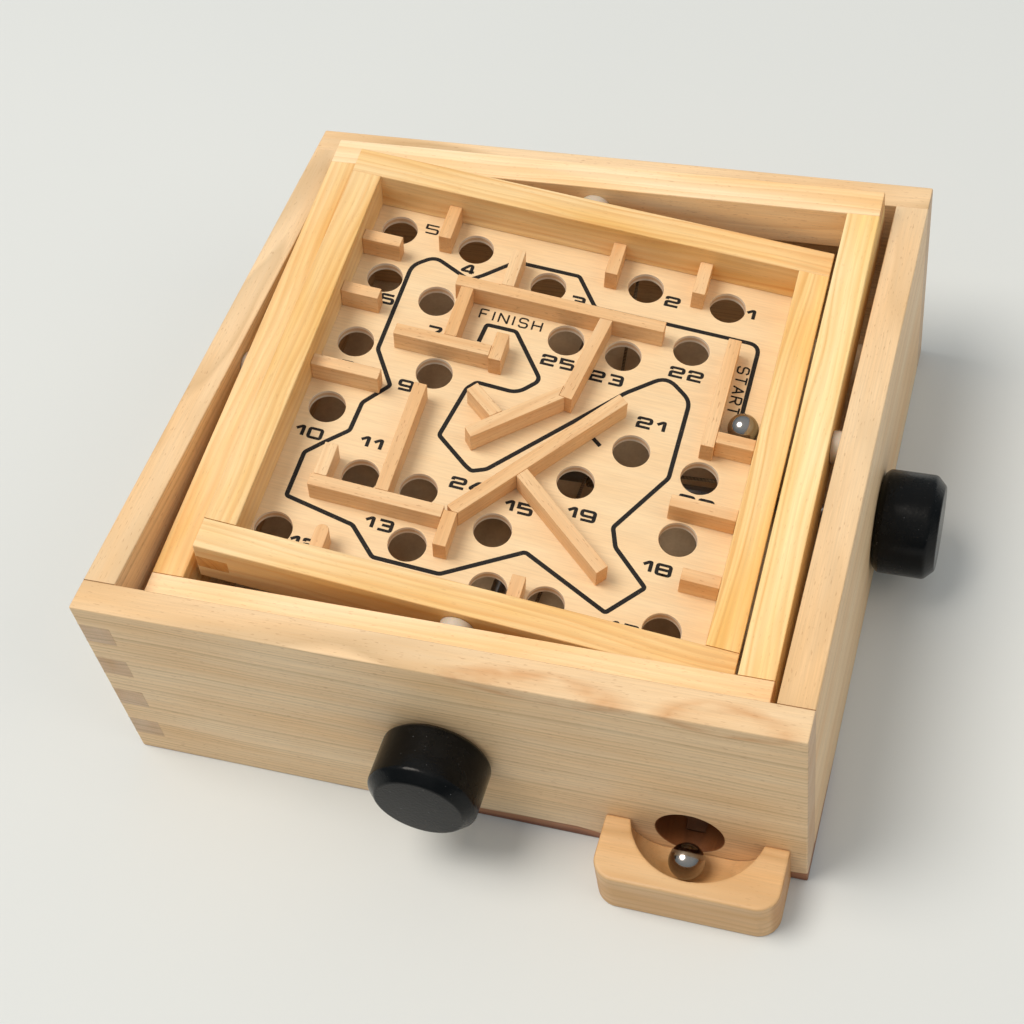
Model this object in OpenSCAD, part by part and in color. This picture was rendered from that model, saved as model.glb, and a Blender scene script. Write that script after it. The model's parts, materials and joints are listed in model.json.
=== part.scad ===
// Wooden tilt maze. A finger-jointed box holds two frames that tilt on crossed pivots. The inner
// frame carries the maze board with its holes and lane walls. Two knobs wind cords that tilt the
// frames, and a ball that falls through a hole rolls down the return floor into the catch tray.
// Millimetres. +X is to the right, -Y to the front, +Z up. The origin is the middle of the whole
// footprint, on the table. The frames are drawn tilted, as they rest.

/* [Box] */
// Outer width of the box, left to right
box_w = 280; // [270:1:310]
// Outer depth of the box, front to back
box_d = 280; // [270:1:310]
// Height of the box walls
box_h = 99; // [96:1:115]
// Thickness of the box walls
wall_t = 13.5; // [12:0.5:16]
// Number of finger zones up each left-hand corner of the box
wall_zones = 9; // [5:2:13]

/* [Tilting frames] */
// Depth of both tilt axes below the top edge of the box
pivot_drop = 12; // [10:0.5:14]
// Gap between the box walls and the outer frame
outer_gap = 4; // [3:0.5:6]
// Thickness of the outer frame's rails
outer_rail_t = 13.5; // [12:0.5:15]
// Height of the outer frame's rails
outer_rail_h = 22; // [18:1:26]
// Gap between the two frames on the sides without pivots
inner_gap_x = 4; // [3:0.5:6]
// Gap between the two frames on the sides with pivots
inner_gap_y = 5.5; // [4:0.5:7]
// Thickness of the inner frame's rails
inner_rail_t = 13; // [12:0.5:15]
// How far the inner frame's top edge lies above the tilt axes
inner_rise = 9.5; // [8:0.5:12]
// Number of finger zones up each frame corner
rail_zones = 3; // [3:2:5]
// Resting tilt of the outer frame about X, back edge up
outer_tilt = 6.3; // [-10:0.1:10]
// Resting tilt of the inner frame about its own Y, left edge up
inner_tilt = 10; // [-10:0.1:10]

/* [Pivots] */
// Diameter of the steel pivot pins
pin_d = 5; // [4:0.5:6]
// Depth of a pin in the wood at each end
pin_bite = 8.5; // [7:0.5:9]
// Diameter of the nylon spacers
spacer_d = 13; // [10:0.5:15]

/* [Maze board] */
// Depth of the board below the top edge of the inner frame
board_drop = 19; // [16:0.5:22]
// Thickness of the board
board_t = 4.5; // [3:0.5:6]
// Width of the rabbet in the rails that holds the board
rabbet_w = 5; // [3:0.5:6]
// Diameter of the holes
hole_d = 15.4; // [14.5:0.1:16]
// Thickness of the lane walls
lane_t = 5.5; // [4.5:0.1:6]
// Height of the lane walls
lane_h = 10.5; // [8:0.5:12]

/* [Controls] */
// Diameter of the knobs
knob_d = 43; // [34:1:48]
// Length of the knobs
knob_l = 25; // [18:1:30]
// Width of the bevel round a knob's outer face
knob_bevel = 4; // [1:0.5:6]
// Width of the bevel round a knob's foot
knob_foot = 2.2; // [0.5:0.1:4]
// Diameter of the steel control shafts
shaft_d = 6; // [5:0.5:8]
// Height of the front control shaft
front_shaft_z = 45; // [43:0.5:50]
// Height of the right control shaft
right_shaft_z = 31; // [28:0.5:33]
// Distance of the right control shaft behind the middle of the box
right_shaft_y = 12; // [8:0.5:20]
// Distance of the outer frame's cord to the right of the middle
cord_x = 20; // [16:1:40]
// Diameter of the cords
cord_d = 1.4; // [1:0.1:2]
// Number of cord turns on each shaft
cord_turns = 7; // [4:1:10]
// Outer diameter of the shaft collars
collar_d = 13; // [11:0.5:16]
// Length of the shaft collars
collar_l = 5; // [4:0.5:8]

/* [Return floor] */
// Thickness of the return floor
floor_t = 3; // [2:0.5:4]
// Height of the floor's top where it meets the outlet
floor_low_z = 6.5; // [6:0.5:9]
// Rise of the floor towards the back, in degrees
floor_rise_back = 1.5; // [1:0.1:2]
// Rise of the floor towards the left, in degrees
floor_rise_left = 0.9; // [0.5:0.1:1.2]
// Depth of the grooves that hold the floor
groove_depth = 5; // [3:0.5:6]

/* [Outlet and catch tray] */
// Diameter of the outlet in the front wall
outlet_d = 26; // [20:1:30]
// Distance of the outlet from the right side of the box
outlet_inset = 44.5; // [42:0.5:60]
// Height of the outlet's middle
outlet_z = 19; // [18:0.5:22]
// Width of the catch tray
tray_w = 70.5; // [62:0.5:76]
// Depth of the catch tray
tray_d = 26.5; // [26:0.5:32]
// Height of the catch tray
tray_h = 22; // [20:0.5:26]
// Radius of the tray's front corners
tray_corner = 9; // [4:0.5:12]
// Radius of the scoop's rim
scoop_r = 26; // [22:0.5:28]
// Radius of the curve from the scoop's floor to its rim
scoop_arc = 13.5; // [10:0.5:14]
// Height of the scoop's floor
scoop_floor = 5.5; // [4:0.5:6]

/* [Balls] */
// Diameter of the ball on the board
play_ball_d = 12.7; // [11:0.1:13]
// Diameter of the ball in the tray
tray_ball_d = 14; // [12:0.1:14.2]

/* [Fits] */
// Gap left for glue between joined pieces
glue_gap = 0.05; // [0.02:0.01:0.1]
// Running gap round a turning pin or shaft
running_gap = 0.05; // [0.02:0.01:0.1]
// Gap round a pressed pin or shaft
press_gap = 0.02; // [0.01:0.01:0.03]
// Gap between a turning face and the face beside it
side_gap = 0.1; // [0.05:0.05:0.3]
// Gap between a knob and the box
knob_gap = 0.5; // [0.3:0.1:1]

/* [Hidden] */
$fn = 96;

pine = [0.86, 0.72, 0.50];
beech = [0.84, 0.66, 0.44];
plywood = [0.90, 0.80, 0.62];
hardboard = [0.32, 0.21, 0.13];
black_paint = [0.05, 0.05, 0.05];
steel = [0.70, 0.71, 0.73];
nylon = [0.92, 0.92, 0.88];
cord_tan = [0.75, 0.72, 0.62];

pivot_z = box_h - pivot_drop;
box_in_w = box_w - 2 * wall_t;
box_in_d = box_d - 2 * wall_t;
outer_w = box_in_w - 2 * outer_gap;
outer_d = box_in_d - 2 * outer_gap;
outer_in_w = outer_w - 2 * outer_rail_t;
outer_in_d = outer_d - 2 * outer_rail_t;
inner_w = outer_in_w - 2 * inner_gap_x;
inner_d = outer_in_d - 2 * inner_gap_y;
inner_in_w = inner_w - 2 * inner_rail_t;
inner_in_d = inner_d - 2 * inner_rail_t;
inner_rail_h = board_drop + board_t;
board_top = inner_rise - board_drop;
outlet_x = box_w / 2 - outlet_inset;

// The whole footprint: the knob on the right, the knob or the tray on the front
reach_x = knob_gap + knob_l;
reach_y = max(knob_gap + knob_l, tray_d);
mid_x = reach_x / 2;
mid_y = -reach_y / 2;

// Depth of the control shafts in the far wall and in the knobs
shaft_bite = wall_t - 5;
knob_bite = knob_l - 6;

// Cord: radius of its middle line on a shaft, and the pitch of its turns
wind_r = shaft_d / 2 + press_gap + cord_d / 2;
wind_pitch = 0.9 * cord_d;
wind_l = (cord_turns - 1) * wind_pitch;
// Where a straight run has come clear of the turns, measured from the point where it leaves them
run_start = sqrt(pow(wind_r + 1.1 * cord_d, 2) - wind_r * wind_r);

// Screw eyes: ring radius, wire, how far the ring's middle hangs below the rail, shank
eye_r = 2.6;
eye_wire = 1.4;
eye_drop = 3.8;
shank_d = 1.8;
shank_l = 8;

// The course is drawn on a plan of this half size and stretched to the board
plan_x = 92;
plan_y = 90.5;
// How far the course lies behind the middle of the board
course_back = 1.5;

// Middles of the holes on the plan, in the order that the route passes them
HOLES = [
    [66.5, 76], [30.5, 76.5], [-10, 65.5], [-45.5, 76.5], [-80.5, 77.5],
    [-79, 51], [-54, 45], [-80.5, 15.5], [-44, 9], [-81.5, -19],
    [-58, -47], [-83.5, -79.5], [-30.5, -72], [5.5, -82.5], [0, -56.5],
    [28.5, -82.5], [74.5, -81.5], [71.5, -40.5], [26, -26], [73.5, -10.5],
    [44, -5.5], [56.5, 50], [29.5, 39.5], [-33.5, -47], [4.5, 40.5],
];

// Lane walls on the plan: name, ends of the middle line, walls it butts against.
// An end beyond the plan stops at the rail.
LANE_WALLS = [
    ["lane_back_left_stub", [-58, 71], [-58, 100], []],
    ["lane_back_mid_stub", [15.5, 72], [15.5, 100], []],
    ["lane_back_right_stub", [53.5, 72], [53.5, 100], []],
    ["lane_back_gate", [-25, 51], [-25, 73.5], ["lane_finish_top"]],
    ["lane_finish_top", [-46.5, 51], [44, 51], []],
    ["lane_finish_left", [-41, 19.5], [-41, 51], ["lane_finish_top", "lane_finish_bottom"]],
    ["lane_finish_bottom", [-64, 19.5], [-20, 19.5], ["lane_finish_end"]],
    ["lane_finish_end", [-20, 15.5], [-20, 29.5], []],
    ["lane_slant_upper", [19.9, 51], [13, 5.5], ["lane_finish_top"]],
    ["lane_slant_lower", [13.5, 9.8], [-20.5, -21.5], ["lane_slant_upper"]],
    ["lane_slant_block", [-25, 0.5], [-9, -12], ["lane_slant_lower"]],
    ["lane_long_diagonal", [36, 11.5], [-16.5, -58], ["lane_diagonal_foot"]],
    ["lane_diagonal_foot", [-16.5, -58.5], [-16.5, -74.5], []],
    ["lane_cross_diagonal", [4.3, -32.6], [47, -67.5], ["lane_long_diagonal"]],
    ["lane_left_upright", [-45.5, -4], [-45.5, -59.5], ["lane_left_crossbar"]],
    ["lane_left_crossbar", [-74.5, -59.5], [-19.4, -59.5], ["lane_diagonal_foot"]],
    ["lane_left_hook", [-71, -59.5], [-71, -41.5], ["lane_left_crossbar"]],
    ["lane_left_stub_back", [-100, 63.5], [-75, 63.5], []],
    ["lane_left_stub_mid", [-100, 34.5], [-75.5, 34.5], []],
    ["lane_left_stub_front", [-100, -4.5], [-63, -4.5], []],
    ["lane_start_side", [73.5, -1.5], [73.5, 53], []],
    ["lane_start_stop", [73.5, 4], [100, 4], ["lane_start_side"]],
    ["lane_right_stub_back", [65, -29.7], [100, -29.7], []],
    ["lane_right_stub_front", [76.5, -60.5], [100, -60.5], []],
    ["lane_front_stub", [17, -78.5], [17, -100], []],
    ["lane_front_round", [-62, -80.5], [-62, -100], []],
];
LANE_NAMES = [for (w = LANE_WALLS) w[0]];

// Node to draw, or "all"

// A point on the plan, stretched to the board
function on_board(p) = [p.x * inner_in_w / 2 / plan_x, p.y * inner_in_d / 2 / plan_y + course_back];

// A point turned about the X axis or about the Y axis
function turn_x(p, a) = [p.x, p.y * cos(a) - p.z * sin(a), p.y * sin(a) + p.z * cos(a)];
function turn_y(p, a) = [p.x * cos(a) + p.z * sin(a), p.y, p.z * cos(a) - p.x * sin(a)];

// A point of the outer or the inner frame, where it rests in the box
function from_outer(p) = turn_x(p, outer_tilt) + [0, 0, pivot_z];
function from_inner(p) = from_outer(turn_y(p, inner_tilt));

// Puts a piece of the box where the object stands
module in_box() translate([-mid_x, -mid_y, 0]) children();

// Puts a piece of the outer frame, or of the inner frame, where it rests
module in_outer() in_box() translate([0, 0, pivot_z]) rotate([outer_tilt, 0, 0]) children();
module in_inner() in_outer() rotate([0, inner_tilt, 0]) children();

// A round rod of diameter d from point a to point b
module rod(a, b, d) {
    v = b - a;
    l = norm(v);
    translate(a) rotate([0, acos(v.z / l), atan2(v.y, v.x)]) cylinder(d = d, h = l);
}

// A board along X, from y 0 to t and z 0 to h, with fingers at the listed ends, 0 for +X and 1 for -X.
// The zones count up from the table; own 0 keeps the even zones full length and own 1 the odd ones.
module finger_board(len, t, h, zones, own, ends = [0, 1]) {
    zone = h / zones;
    cut = t + glue_gap;
    difference() {
        translate([-len / 2, 0, 0]) cube([len, t, h]);
        for (k = [0 : zones - 1], s = ends)
            if (k % 2 != own)
                mirror([s, 0, 0])
                    translate([len / 2 - cut, -1, k * zone - glue_gap / 2])
                        cube([cut + 1, t + 2, zone + glue_gap]);
    }
}

// A plain board along X that is glued between two boards of thickness t, which stand len apart outside
module butted_board(len, t, h) {
    l = len - 2 * (t + glue_gap);
    translate([-l / 2, 0, 0]) cube([l, t, h]);
}

// One side of a frame of outer size w by d, standing on z 0. Its corners have fingers; where butted is
// true, the right side is glued between the front and the back instead.
module frame_side(side, w, d, t, h, zones, butted = false) {
    fingered = butted ? [1] : [0, 1];
    if (side == "front") translate([0, -d / 2, 0]) finger_board(w, t, h, zones, 0, fingered);
    if (side == "back") translate([0, d / 2 - t, 0]) finger_board(w, t, h, zones, 0, fingered);
    if (side == "right" && butted) translate([w / 2, 0, 0]) rotate([0, 0, 90]) butted_board(d, t, h);
    if (side == "right" && !butted)
        translate([w / 2, 0, 0]) rotate([0, 0, 90]) finger_board(d, t, h, zones, 1);
    if (side == "left") translate([t - w / 2, 0, 0]) rotate([0, 0, 90]) finger_board(d, t, h, zones, 1);
}

// Two rods on the X axis, one on each side, from distance a to distance b
module rod_pair(a, b, d) {
    rod([a, 0, 0], [b, 0, 0], d);
    rod([-a, 0, 0], [-b, 0, 0], d);
}

// Two spacer rings on the X axis in gaps from distance a to distance b
module spacer_pair(a, b) {
    l = b - a - 2 * side_gap;
    for (s = [-1, 1])
        translate([s * (a + b) / 2, 0, 0]) rotate([0, 90, 0]) difference() {
            cylinder(d = spacer_d, h = l, center = true);
            cylinder(d = pin_d + 2 * running_gap, h = l + 2, center = true);
        }
}

// The return floor, grown by g for the grooves that hold it
module floor_slab(g) {
    w = box_in_w + 2 * groove_depth - 2 * glue_gap + 2 * g;
    d = box_in_d + 2 * groove_depth - 2 * glue_gap + 2 * g;
    intersection() {
        translate([outlet_x, -box_in_d / 2, floor_low_z])
            rotate([floor_rise_back, floor_rise_left, 0])
                translate([-2 * box_w, -box_d, -floor_t - g]) cube([4 * box_w, 3 * box_d, floor_t + 2 * g]);
        translate([-w / 2, -d / 2, -box_h]) cube([w, d, 3 * box_h]);
    }
}

// The line of the front control shaft, from y a to y b, and of the right one, from x a to x b
module front_shaft_line(a, b, d) rod([0, a, front_shaft_z], [0, b, front_shaft_z], d);
module right_shaft_line(a, b, d) rod([a, right_shaft_y, right_shaft_z], [b, right_shaft_y, right_shaft_z], d);

// Box walls: fingers on the left, the right wall butted between the front and the back
module box_side(side) frame_side(side, box_w, box_d, wall_t, box_h, wall_zones, true);

module front_wall() color(pine) in_box() difference() {
    box_side("front");
    floor_slab(glue_gap);
    rod([outlet_x, -box_d / 2 - 1, outlet_z], [outlet_x, 1 - box_in_d / 2, outlet_z], outlet_d);
    front_shaft_line(-box_d / 2 - 1, 1 - box_in_d / 2, shaft_d + 2 * running_gap);
}

module back_wall() color(pine) in_box() difference() {
    box_side("back");
    floor_slab(glue_gap);
    front_shaft_line(box_in_d / 2 - 1, box_in_d / 2 + shaft_bite + 0.5, shaft_d + 2 * running_gap);
}

module right_wall() color(pine) in_box() difference() {
    box_side("right");
    floor_slab(glue_gap);
    right_shaft_line(box_in_w / 2 - 1, box_w / 2 + 1, shaft_d + 2 * running_gap);
    wall_pin_bores();
}

module left_wall() color(pine) in_box() difference() {
    box_side("left");
    floor_slab(glue_gap);
    right_shaft_line(1 - box_in_w / 2, -box_in_w / 2 - shaft_bite - 0.5, shaft_d + 2 * running_gap);
    wall_pin_bores();
}

// Blind bores in the side walls for the outer frame's pivot pins
module wall_pin_bores() translate([0, 0, pivot_z])
    rod_pair(box_in_w / 2 - 1, box_in_w / 2 + pin_bite + 0.2, pin_d + 2 * press_gap);

// Sloped floor that leads a fallen ball to the outlet
module return_floor() color(hardboard) in_box() floor_slab(0);

// Catch tray: a block with rounded front corners and a round scoop under the outlet
module catch_tray() color(beech) in_box() translate([outlet_x + 3, -box_d / 2, 0]) difference() {
    linear_extrude(tray_h) tray_outline();
    translate([0, 5.5, 0]) rotate_extrude() scoop_section();
}

module tray_outline() {
    w = tray_w;
    translate([-w / 2, -tray_d + tray_corner]) square([w, tray_d - tray_corner - glue_gap]);
    translate([tray_corner - w / 2, -tray_d]) square([w - 2 * tray_corner, tray_d - glue_gap]);
    for (s = [-1, 1]) translate([s * (w / 2 - tray_corner), tray_corner - tray_d]) circle(tray_corner);
}

// Half section of the scoop: flat floor, a quarter round and an upright rim
module scoop_section() {
    flat_r = scoop_r - scoop_arc;
    translate([0, scoop_floor]) square([flat_r, tray_h]);
    translate([0, scoop_floor + scoop_arc]) square([scoop_r, tray_h]);
    intersection() {
        translate([flat_r, scoop_floor + scoop_arc]) circle(scoop_arc);
        square([scoop_r + 1, 2 * tray_h]);
    }
}

// Outer pivots: pins fixed in the side walls, spacers in the gaps
module outer_pivot_pins() color(steel) in_box() translate([0, 0, pivot_z])
    rod_pair(outer_w / 2 - pin_bite, box_in_w / 2 + pin_bite, pin_d);

module outer_pivot_spacers() color(nylon) in_box() translate([0, 0, pivot_z])
    spacer_pair(outer_w / 2, box_in_w / 2);

// Outer frame: pins run in its side rails, and the inner frame's pins are fixed in the other two
module outer_rail(side) color(pine) in_outer() difference() {
    translate([0, 0, -outer_rail_h / 2])
        frame_side(side, outer_w, outer_d, outer_rail_t, outer_rail_h, rail_zones);
    if (side == "left" || side == "right")
        rod_pair(outer_w / 2 + 1, outer_w / 2 - pin_bite - 0.2, pin_d + 2 * running_gap);
    if (side == "front" || side == "back") {
        rotate([0, 0, 90]) rod_pair(outer_in_d / 2 - 1, outer_in_d / 2 + pin_bite + 0.2, pin_d + 2 * press_gap);
        for (p = OUTER_EYES) translate(p) cylinder(d = shank_d + 2 * press_gap, h = shank_l + 0.3);
    }
}

module inner_pivot_pins() color(steel) in_outer() rotate([0, 0, 90])
    rod_pair(inner_d / 2 - pin_bite, outer_in_d / 2 + pin_bite, pin_d);

module inner_pivot_spacers() color(nylon) in_outer() rotate([0, 0, 90])
    spacer_pair(inner_d / 2, outer_in_d / 2);

// Screw eyes that hold the cords: where they enter the rails
OUTER_EYES = [for (s = [-1, 1]) [cord_x, s * (outer_d - outer_rail_t) / 2, -outer_rail_h / 2]];
INNER_EYES = [for (s = [-1, 1]) [s * (inner_w - inner_rail_t + rabbet_w) / 2, 0, inner_rise - inner_rail_h]];

// One screw eye under a rail, its ring's axis along Y
module screw_eye() {
    translate([0, 0, -eye_drop + eye_r]) cylinder(d = shank_d, h = shank_l + eye_drop - eye_r);
    translate([0, 0, -eye_drop]) rotate([90, 0, 0])
        rotate_extrude() translate([eye_r, 0]) circle(d = eye_wire);
}

module outer_cord_eyes() color(steel) in_outer()
    for (p = OUTER_EYES) translate(p) screw_eye();

module inner_cord_eyes() color(steel) in_inner()
    for (p = INNER_EYES) translate(p) rotate([0, 0, 90]) screw_eye();

// One run of cord from its winding on a shaft at c, whose axis points along a, to the eye at e,
// with a knot behind the eye. It leaves the top of the winding on the line that just touches it.
module cord_run(c, a, e) {
    v = e - c;
    along = v / norm(v);
    across = cross(along, a);
    up = across.z > 0 ? across : -across;
    start = c + up / norm(up) * wind_r;
    u = (e - start) / norm(e - start);
    rod(start + u * run_start, e + u * 2.5, cord_d);
    translate(e + u * 2.7) sphere(d = 4.4);
}

// The middle of a screw eye's ring below its place on the rail
function ring_of(p) = p - [0, 0, eye_drop];

module outer_cord() color(cord_tan) in_box()
    for (s = [-1, 1])
        cord_run([cord_x + s * wind_l / 2, right_shaft_y, right_shaft_z], [1, 0, 0],
            from_outer(ring_of(OUTER_EYES[(s + 1) / 2])));

module inner_cord() color(cord_tan) in_box()
    for (s = [-1, 1])
        cord_run([0, s * wind_l / 2, front_shaft_z], [0, 1, 0],
            from_inner(ring_of(INNER_EYES[(s + 1) / 2])));

// Inner frame: rails with a rabbet for the board, pivot bores in front and back
module inner_rail(side) color(pine) in_inner() difference() {
    translate([0, 0, inner_rise - inner_rail_h])
        frame_side(side, inner_w, inner_d, inner_rail_t, inner_rail_h, rail_zones);
    board_blank(glue_gap);
    if (side == "front" || side == "back")
        rotate([0, 0, 90]) rod_pair(inner_d / 2 + 1, inner_d / 2 - pin_bite - 0.2, pin_d + 2 * running_gap);
    if (side == "left" || side == "right")
        for (p = INNER_EYES) translate(p - [0, 0, 1]) cylinder(d = shank_d + 2 * press_gap, h = shank_l + 1.3);
}

// The board's outline, grown by g; with g it reaches below the rails, so that it cuts the rabbet
module board_blank(g) {
    w = inner_in_w + 2 * rabbet_w + 2 * g;
    d = inner_in_d + 2 * rabbet_w + 2 * g;
    below = g > 0 ? 1 : 0;
    translate([-w / 2, -d / 2, board_top - board_t - below]) cube([w, d, board_t + g + below]);
}

// Maze board with its holes
module maze_board() color(plywood) in_inner() difference() {
    board_blank(0);
    for (h = HOLES)
        let (p = on_board(h))
            translate([p.x, p.y, board_top - board_t - 1]) cylinder(d = hole_d, h = board_t + 2);
}

// A lane wall's strip between two points on the plan, grown by g
module lane_strip(w, g) {
    a = on_board(w[1]);
    b = on_board(w[2]);
    l = norm(b - a);
    translate([a.x, a.y, board_top + glue_gap - g]) rotate([0, 0, atan2(b.y - a.y, b.x - a.x)])
        translate([-g, -lane_t / 2 - g, 0]) cube([l + 2 * g, lane_t + 2 * g, lane_h + 2 * g]);
    if (w[0] == "lane_front_round")
        translate([a.x, a.y, board_top + glue_gap - g]) cylinder(d = lane_t + 2 * g, h = lane_h + 2 * g);
}

// The space inside the inner frame
module lane_space() {
    w = inner_in_w - 2 * glue_gap;
    d = inner_in_d - 2 * glue_gap;
    translate([-w / 2, -d / 2, board_top]) cube([w, d, 2 * lane_h]);
}

// One lane wall, cut back where it butts against others
module lane_wall(w) color(beech) in_inner() difference() {
    intersection() {
        lane_strip(w, 0);
        lane_space();
    }
    for (other = w[3]) lane_strip(LANE_WALLS[search([other], LANE_NAMES)[0]], glue_gap);
}

// Controls: a knob along +Z, a collar and the cord wound on a shaft
module knob() difference() {
    rotate_extrude() polygon([
        [0, 0], [knob_d / 2 - knob_foot, 0], [knob_d / 2, knob_foot], [knob_d / 2, knob_l - knob_bevel],
        [knob_d / 2 - knob_bevel, knob_l], [0, knob_l],
    ]);
    translate([0, 0, -1]) cylinder(d = shaft_d + 2 * press_gap, h = knob_bite + 1.2);
}

module collar() difference() {
    cylinder(d = collar_d, h = collar_l);
    translate([0, 0, -1]) cylinder(d = shaft_d + 2 * press_gap, h = collar_l + 2);
}

module winding() rotate_extrude()
    for (k = [0 : cord_turns - 1]) translate([wind_r, k * wind_pitch - wind_l / 2]) circle(d = cord_d);

module on_right_shaft(x) in_box() translate([x, right_shaft_y, right_shaft_z]) rotate([0, 90, 0]) children();
module on_front_shaft(y) in_box() translate([0, y, front_shaft_z]) rotate([90, 0, 0]) children();

module right_knob() color(black_paint) on_right_shaft(box_w / 2 + knob_gap) knob();
module right_shaft() color(steel) in_box()
    right_shaft_line(-box_in_w / 2 - shaft_bite, box_w / 2 + knob_gap + knob_bite, shaft_d);
module right_cord_winding() color(cord_tan) on_right_shaft(cord_x) winding();
module right_collar() color(steel) on_right_shaft(box_in_w / 2 - side_gap - collar_l) collar();

module front_knob() color(black_paint) on_front_shaft(-box_d / 2 - knob_gap) knob();
module front_shaft() color(steel) in_box()
    front_shaft_line(-box_d / 2 - knob_gap - knob_bite, box_in_d / 2 + shaft_bite, shaft_d);
module front_cord_winding() color(cord_tan) on_front_shaft(0) winding();
module front_collar() color(steel) on_front_shaft(side_gap + collar_l - box_in_d / 2) collar();

// The ball on the board waits in the start corner, against the right rail and the stop
module play_ball() color(steel) in_inner() translate([
    inner_in_w / 2 - play_ball_d / 2 - side_gap,
    on_board([0, 4]).y + lane_t / 2 + play_ball_d / 2 + side_gap,
    board_top + play_ball_d / 2 + glue_gap,
]) sphere(d = play_ball_d);

// The ball in the tray lies where the scoop's floor starts to rise
tray_ball_out = scoop_r - scoop_arc + 1.5;
tray_ball_fit = scoop_arc - tray_ball_d / 2 - glue_gap;
module tray_ball() color(steel) in_box() translate([
    outlet_x + 3 - 2.5,
    5.5 - box_d / 2 - sqrt(tray_ball_out * tray_ball_out - 2.5 * 2.5),
    scoop_floor + scoop_arc - sqrt(tray_ball_fit * tray_ball_fit - 1.5 * 1.5),
]) sphere(d = tray_ball_d);

front_wall();
right_wall();
back_wall();
left_wall();
return_floor();
catch_tray();
outer_pivot_pins();
outer_pivot_spacers();
outer_cord();
for (s = ["front", "right", "back", "left"]) {
    outer_rail(s);
    inner_rail(s);
}
inner_pivot_pins();
inner_pivot_spacers();
outer_cord_eyes();
inner_cord_eyes();
inner_cord();
maze_board();
for (w = LANE_WALLS)
    lane_wall(w);
right_knob();
right_shaft();
right_cord_winding();
right_collar();
front_knob();
front_shaft();
front_cord_winding();
front_collar();
play_ball();
tray_ball();
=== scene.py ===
# %% [markdown]
# # Dressing a wooden tilt maze
# The game is a pine box with finger-jointed corners. Two frames tilt in it on crossed pins, and the
# inner one carries the maze board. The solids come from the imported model. This lesson gives them their
# eased edges, their timber, lacquer and steel, and adds the printed course. Every length is in metres,
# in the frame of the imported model, so each piece is put where its solid already is.

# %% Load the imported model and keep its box
import json
import math

import bmesh
import bpy
import numpy as np
from mathutils import Matrix, Vector


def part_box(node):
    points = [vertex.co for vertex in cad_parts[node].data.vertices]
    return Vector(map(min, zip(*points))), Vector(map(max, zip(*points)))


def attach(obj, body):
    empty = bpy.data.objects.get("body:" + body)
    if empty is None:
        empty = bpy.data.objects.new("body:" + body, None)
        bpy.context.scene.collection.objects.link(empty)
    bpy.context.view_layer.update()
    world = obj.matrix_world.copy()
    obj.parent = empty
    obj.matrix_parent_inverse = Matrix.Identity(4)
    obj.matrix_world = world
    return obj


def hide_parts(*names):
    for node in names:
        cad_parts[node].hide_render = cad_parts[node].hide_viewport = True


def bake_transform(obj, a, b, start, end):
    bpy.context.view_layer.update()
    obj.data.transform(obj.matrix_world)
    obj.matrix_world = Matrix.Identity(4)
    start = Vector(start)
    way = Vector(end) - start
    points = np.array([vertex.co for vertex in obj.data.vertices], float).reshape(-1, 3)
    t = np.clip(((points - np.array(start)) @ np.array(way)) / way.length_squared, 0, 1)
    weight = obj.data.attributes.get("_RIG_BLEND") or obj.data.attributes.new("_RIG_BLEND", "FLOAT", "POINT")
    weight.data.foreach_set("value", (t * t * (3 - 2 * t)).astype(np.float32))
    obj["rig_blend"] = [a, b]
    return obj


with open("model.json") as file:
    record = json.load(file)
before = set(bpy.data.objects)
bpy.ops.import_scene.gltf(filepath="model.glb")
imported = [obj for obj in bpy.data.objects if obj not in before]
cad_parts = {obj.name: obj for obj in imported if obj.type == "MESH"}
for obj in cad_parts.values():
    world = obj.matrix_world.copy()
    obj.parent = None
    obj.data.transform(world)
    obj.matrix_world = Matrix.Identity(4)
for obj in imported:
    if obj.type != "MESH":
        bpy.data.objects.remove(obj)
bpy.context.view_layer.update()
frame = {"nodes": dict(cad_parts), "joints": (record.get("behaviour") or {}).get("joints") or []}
MM = 0.001

# %% [markdown]
# ## Three sets of axes
# The box stands square, the outer frame is turned about X in it, and the inner frame is turned about
# its own Y in the outer one. A wall, a rail or a printed mark is easiest to think of in the axes of the
# frame that it belongs to. So each body gets a turn and a middle, and two short functions go from
# millimetres in those axes to metres in the scene and back.

# %% Axes of the box and of the two frames
front_low, back_high = np.array(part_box("front_wall")[0]), np.array(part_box("back_wall")[1])
BOX_MIDDLE = (front_low + back_high) / 2 * (1, 1, 0)
PIVOT = np.array(next(j["pos_m"] for j in frame["joints"] if j["name"] == "outer_tilt"))
OUTER_TILT, INNER_TILT = math.radians(6.3), math.radians(10)
TURN = {"box": np.eye(3), "outer_frame": np.array(Matrix.Rotation(OUTER_TILT, 3, "X"))}
TURN["maze_tray"] = TURN["outer_frame"] @ np.array(Matrix.Rotation(INNER_TILT, 3, "Y"))
MIDDLE = {"box": BOX_MIDDLE, "outer_frame": PIVOT, "maze_tray": PIVOT}


def placed(points_mm, body):
    """Points in millimetres in a body's own axes, as metres in the scene: middle + turn * p."""
    return np.asarray(points_mm, float) @ TURN[body].T * MM + MIDDLE[body]


def own(points, body):
    """The way back: metres in the scene to millimetres in a body's own axes."""
    return (np.asarray(points, float) - MIDDLE[body]) @ TURN[body] / MM


print("middle of the box:", BOX_MIDDLE.round(5), "pivot:", PIVOT)

# %% [markdown]
# ## The camera
# The picture is taken from the front right, about fifty degrees up, with the camera rolled a little.
# Place and lens were worked out from the corners of the box, so the three angles and the lens are set
# as they came out. A camera looks along its own -Z, so its Z axis points back at the photographer.

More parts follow.
